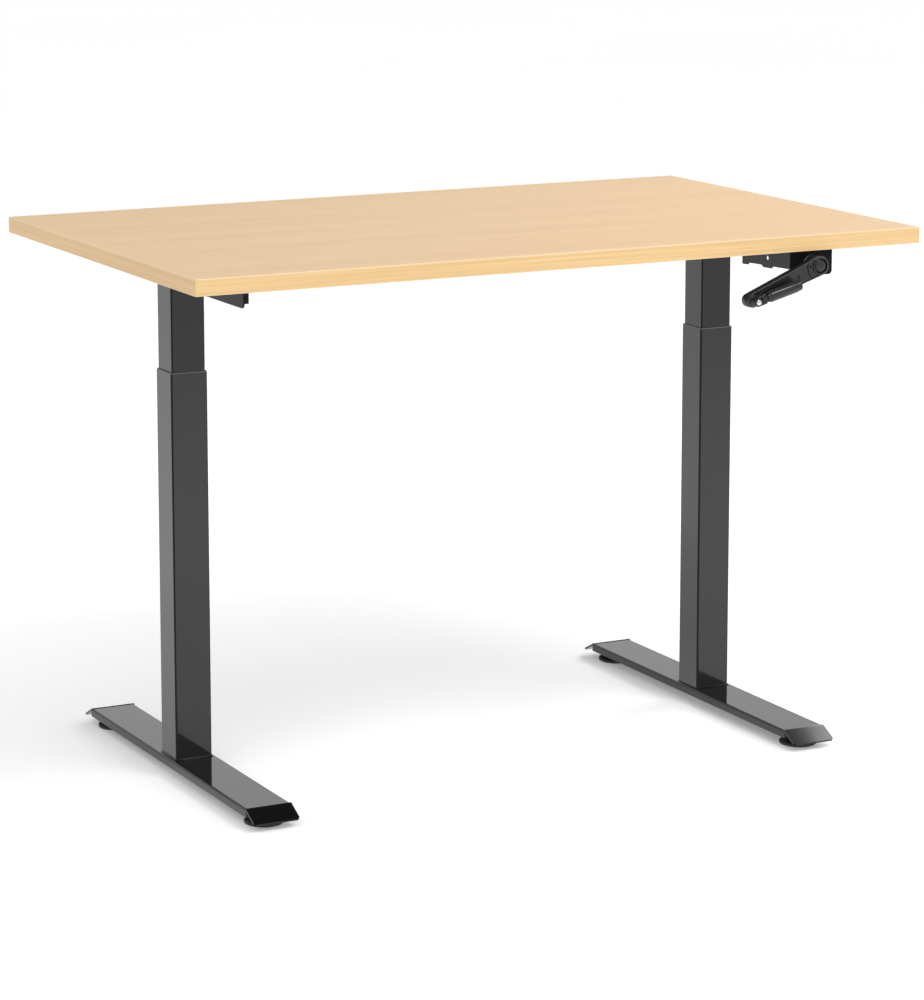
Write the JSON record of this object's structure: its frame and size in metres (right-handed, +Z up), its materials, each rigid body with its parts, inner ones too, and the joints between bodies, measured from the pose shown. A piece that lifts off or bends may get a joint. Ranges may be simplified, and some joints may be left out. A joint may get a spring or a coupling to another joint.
{
  "type": "height adjustable standing desk",
  "caption": "Crank-operated standing desk: a flat rectangular top on square telescopic columns with long flat feet, lifted by geared lead screws.",
  "frame": {"origin": "bottom centre of the whole desk's bounding box, on the floor at rest", "axes": "+X along the desktop to the user's right, +Y to the back, +Z up; the user sits or stands at -Y"},
  "size_m": [1.22, 0.8026, 0.837],
  "materials": {
    "desktop_laminate": "satin",
    "edge_band": "satin",
    "frame_paint": "gloss black powder coat",
    "inner_column_paint": "gloss black powder coat",
    "zinc_steel": "zinc plated",
    "bright_pin": "polished",
    "guide_plastic": "moulded",
    "bare_steel": "mill finish",
    "shaft_steel": "ground",
    "gear_steel": "sintered",
    "bearing_steel": "ground",
    "nut_brass": "machined",
    "housing_alloy": "die cast",
    "crank_plastic": "satin moulded",
    "grip_plastic": "smooth moulded",
    "pad_rubber": "matt"
  },
  "bodies": {
    "base": {"left_foot": "frame_paint", "right_foot": "frame_paint", "left_outer_column": "frame_paint", "right_outer_column": "frame_paint", "column_base_plates": "frame_paint", "foot_bolts": "zinc_steel", "guide_bushes": "guide_plastic", "nut_posts": "bare_steel", "lead_nuts": "nut_brass", "leveller_nuts": "zinc_steel"},
    "upper_frame": {"desktop": "desktop_laminate", "edge_bands": "edge_band", "desktop_screws": "zinc_steel", "left_inner_column": "inner_column_paint", "right_inner_column": "inner_column_paint", "left_head_plate": "frame_paint", "right_head_plate": "frame_paint", "left_side_bracket": "frame_paint", "right_side_bracket": "frame_paint", "left_gear_housing": "housing_alloy", "right_gear_housing": "housing_alloy", "left_gear_cover": "housing_alloy", "right_gear_cover": "housing_alloy", "front_rail_left_end": "frame_paint", "front_rail_right_end": "frame_paint", "front_rail_centre": "frame_paint", "back_rail_left_end": "frame_paint", "back_rail_right_end": "frame_paint", "back_rail_centre": "frame_paint", "guide_shoes": "guide_plastic", "rail_screws": "zinc_steel", "gearbox_bolts": "zinc_steel", "thrust_bearings": "bearing_steel", "crank_gearbox": "housing_alloy", "crank_gearbox_cover": "housing_alloy", "shaft_bushes": "nut_brass", "crank_bracket": "frame_paint", "crank_bush": "guide_plastic"},
    "cross_shaft": {"cross_shaft": "shaft_steel", "cross_shaft_gears": "gear_steel"},
    "left_screw": {"left_lead_screw": "shaft_steel", "left_screw_gear": "gear_steel"},
    "right_screw": {"right_lead_screw": "shaft_steel", "right_screw_gear": "gear_steel"},
    "crank": {"crank_shaft": "shaft_steel", "crank_gear": "gear_steel", "crank_arm": "crank_plastic", "hub_screw": "zinc_steel", "hub_cap": "crank_plastic"},
    "grip_swivel": {"swivel_base": "crank_plastic", "swivel_pins": "bright_pin"},
    "grip": {"grip": "grip_plastic"},
    "stud_front_left": {"leveller_stud_front_left": "zinc_steel"},
    "pad_front_left": {"leveller_pad_front_left": "pad_rubber"},
    "stud_back_left": {"leveller_stud_back_left": "zinc_steel"},
    "pad_back_left": {"leveller_pad_back_left": "pad_rubber"},
    "stud_front_right": {"leveller_stud_front_right": "zinc_steel"},
    "pad_front_right": {"leveller_pad_front_right": "pad_rubber"},
    "stud_back_right": {"leveller_stud_back_right": "zinc_steel"},
    "pad_back_right": {"leveller_pad_back_right": "pad_rubber"}
  },
  "joints": [
    {"name": "crank_turn", "type": "hinge", "parent": "upper_frame", "child": "crank", "pos_m": [0.417, -0.35175, 0.7906], "axis": [0, 1, 0], "range_deg": [-5040, 15120]},
    {"name": "desk_lift", "type": "slide", "parent": "base", "child": "upper_frame", "axis": [0, 0, 1], "range_m": [-0.112, 0.336]},
    {"name": "cross_shaft_turn", "type": "hinge", "parent": "upper_frame", "child": "cross_shaft", "pos_m": [0, 0.03725, 0.7906], "axis": [-1, 0, 0], "range_deg": [-5040, 15120]},
    {"name": "left_screw_turn", "type": "hinge", "parent": "upper_frame", "child": "left_screw", "pos_m": [-0.4674, 0.03725, 0.7606], "axis": [0, 0, 1], "range_deg": [-5040, 15120]},
    {"name": "right_screw_turn", "type": "hinge", "parent": "upper_frame", "child": "right_screw", "pos_m": [0.4674, 0.03725, 0.7606], "axis": [0, 0, 1], "range_deg": [-5040, 15120]},
    {"name": "grip_swivel", "type": "hinge", "parent": "crank", "child": "grip_swivel", "pos_m": [0.29451, -0.37975, 0.74529], "axis": [0, 1, 0], "continuous": true},
    {"name": "grip_fold", "type": "hinge", "parent": "grip_swivel", "child": "grip", "pos_m": [0.30807, -0.39025, 0.7488], "axis": [-0.2504, 0, 0.9681], "range_deg": [-90, 0]},
    {"name": "leveller_front_left", "type": "slide", "parent": "base", "child": "stud_front_left", "axis": [0, 0, -1], "range_m": [0, 0.005]},
    {"name": "pad_turn_front_left", "type": "hinge", "parent": "stud_front_left", "child": "pad_front_left", "pos_m": [-0.4674, -0.25775, 0.008], "axis": [0, 0, 1], "continuous": true},
    {"name": "leveller_back_left", "type": "slide", "parent": "base", "child": "stud_back_left", "axis": [0, 0, -1], "range_m": [0, 0.005]},
    {"name": "pad_turn_back_left", "type": "hinge", "parent": "stud_back_left", "child": "pad_back_left", "pos_m": [-0.4674, 0.33225, 0.008], "axis": [0, 0, 1], "continuous": true},
    {"name": "leveller_front_right", "type": "slide", "parent": "base", "child": "stud_front_right", "axis": [0, 0, -1], "range_m": [0, 0.005]},
    {"name": "pad_turn_front_right", "type": "hinge", "parent": "stud_front_right", "child": "pad_front_right", "pos_m": [0.4674, -0.25775, 0.008], "axis": [0, 0, 1], "continuous": true},
    {"name": "leveller_back_right", "type": "slide", "parent": "base", "child": "stud_back_right", "axis": [0, 0, -1], "range_m": [0, 0.005]},
    {"name": "pad_turn_back_right", "type": "hinge", "parent": "stud_back_right", "child": "pad_back_right", "pos_m": [0.4674, 0.33225, 0.008], "axis": [0, 0, 1], "continuous": true}
  ],
  "couplings": [
    {"joint": "crank_turn", "follows": "desk_lift", "rad_per_m": 785.4},
    {"joint": "cross_shaft_turn", "follows": "desk_lift", "rad_per_m": 785.4},
    {"joint": "left_screw_turn", "follows": "desk_lift", "rad_per_m": 785.4},
    {"joint": "right_screw_turn", "follows": "desk_lift", "rad_per_m": 785.4}
  ]
}
